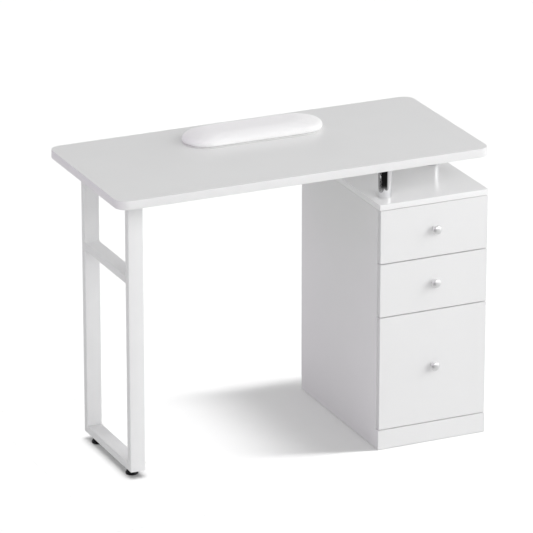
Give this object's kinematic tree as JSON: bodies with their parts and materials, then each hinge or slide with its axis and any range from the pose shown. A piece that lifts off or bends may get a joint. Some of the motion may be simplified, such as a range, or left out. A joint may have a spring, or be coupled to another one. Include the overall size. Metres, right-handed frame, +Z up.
{
  "type": "manicure table",
  "caption": "Narrow white nail desk: rounded top on a steel leg frame and a drawer cabinet, raised on chromed posts, with a loose padded wrist rest.",
  "frame": {"origin": "on the floor, under the middle of the whole table, drawer knobs included", "axes": "+X along the table's length from the leg frame to the cabinet, +Y from the drawer side to the rear, +Z up"},
  "size_m": [1, 0.484, 0.795],
  "materials": {
    "laminate": "white melamine-faced board, satin, with matching edge band",
    "gloss_laminate": "white high-gloss laminate",
    "drawer_board": "white paper-foil board, matt",
    "powder_coat": "white powder coat, fine orange peel",
    "chrome": "polished chrome plate",
    "zinc_steel": "bright zinc-plated steel",
    "black_plastic": "black moulded plastic",
    "leatherette": "white grained leatherette over foam"
  },
  "bodies": {
    "table": {"tabletop": "laminate", "leg_front_upright": "powder_coat", "leg_rear_upright": "powder_coat", "leg_top_bar": "powder_coat", "leg_bottom_bar": "powder_coat", "leg_crossbar": "powder_coat", "leg_screw_front": "zinc_steel", "leg_screw_rear": "zinc_steel", "cabinet_top": "gloss_laminate", "cabinet_left_side": "laminate", "cabinet_right_side": "laminate", "cabinet_bottom": "laminate", "cabinet_plinth": "laminate", "cabinet_back": "laminate", "post_front_left": "chrome", "post_middle_right": "chrome", "post_rear_left": "chrome", "post_bolt_front_left": "zinc_steel", "post_bolt_middle_right": "zinc_steel", "post_bolt_rear_left": "zinc_steel", "cabinet_runner_1_left": "zinc_steel", "cabinet_runner_1_right": "zinc_steel", "cabinet_runner_2_left": "zinc_steel", "cabinet_runner_2_right": "zinc_steel", "cabinet_runner_3_left": "zinc_steel", "cabinet_runner_3_right": "zinc_steel"},
    "drawer_1": {"drawer_1_front": "laminate", "drawer_1_left_side": "drawer_board", "drawer_1_right_side": "drawer_board", "drawer_1_back": "drawer_board", "drawer_1_bottom": "drawer_board", "drawer_1_knob": "chrome", "drawer_1_knob_screw": "zinc_steel", "drawer_1_runner_left": "zinc_steel", "drawer_1_runner_right": "zinc_steel"},
    "drawer_2": {"drawer_2_front": "laminate", "drawer_2_left_side": "drawer_board", "drawer_2_right_side": "drawer_board", "drawer_2_back": "drawer_board", "drawer_2_bottom": "drawer_board", "drawer_2_knob": "chrome", "drawer_2_knob_screw": "zinc_steel", "drawer_2_runner_left": "zinc_steel", "drawer_2_runner_right": "zinc_steel"},
    "drawer_3": {"drawer_3_front": "laminate", "drawer_3_left_side": "drawer_board", "drawer_3_right_side": "drawer_board", "drawer_3_back": "drawer_board", "drawer_3_bottom": "drawer_board", "drawer_3_knob": "chrome", "drawer_3_knob_screw": "zinc_steel", "drawer_3_runner_left": "zinc_steel", "drawer_3_runner_right": "zinc_steel"},
    "foot_front": {"foot_front_pad": "black_plastic"},
    "foot_front_stem": {"foot_front_stem": "zinc_steel"},
    "foot_rear": {"foot_rear_pad": "black_plastic"},
    "foot_rear_stem": {"foot_rear_stem": "zinc_steel"},
    "wrist_rest": {"wrist_rest_pad": "leatherette", "wrist_rest_base": "drawer_board"}
  },
  "joints": [
    {"name": "drawer_1_slide", "type": "slide", "parent": "table", "child": "drawer_1", "axis": [0, -1, 0], "range_m": [0, 0.3]},
    {"name": "drawer_2_slide", "type": "slide", "parent": "table", "child": "drawer_2", "axis": [0, -1, 0], "range_m": [0, 0.3]},
    {"name": "drawer_3_slide", "type": "slide", "parent": "table", "child": "drawer_3", "axis": [0, -1, 0], "range_m": [0, 0.3]},
    {"name": "foot_front_height", "type": "slide", "parent": "table", "child": "foot_front", "axis": [0, 0, -1], "range_m": [-0.005, 0.0075]},
    {"name": "foot_front_turn", "type": "hinge", "parent": "foot_front", "child": "foot_front_stem", "pos_m": [-0.425, -0.098, 0.004], "axis": [0, 0, -1], "range_deg": [-1440, 2160]},
    {"name": "foot_rear_height", "type": "slide", "parent": "table", "child": "foot_rear", "axis": [0, 0, -1], "range_m": [-0.005, 0.0075]},
    {"name": "foot_rear_turn", "type": "hinge", "parent": "foot_rear", "child": "foot_rear_stem", "pos_m": [-0.425, 0.122, 0.004], "axis": [0, 0, -1], "range_deg": [-1440, 2160]},
    {"name": "wrist_rest_lift", "type": "slide", "parent": "table", "child": "wrist_rest", "axis": [0, 0, 1], "range_m": [0, 0.15]}
  ],
  "couplings": [
    {"joint": "foot_front_turn", "follows": "foot_front_height", "rad_per_m": 5026.5},
    {"joint": "foot_rear_turn", "follows": "foot_rear_height", "rad_per_m": 5026.5}
  ]
}
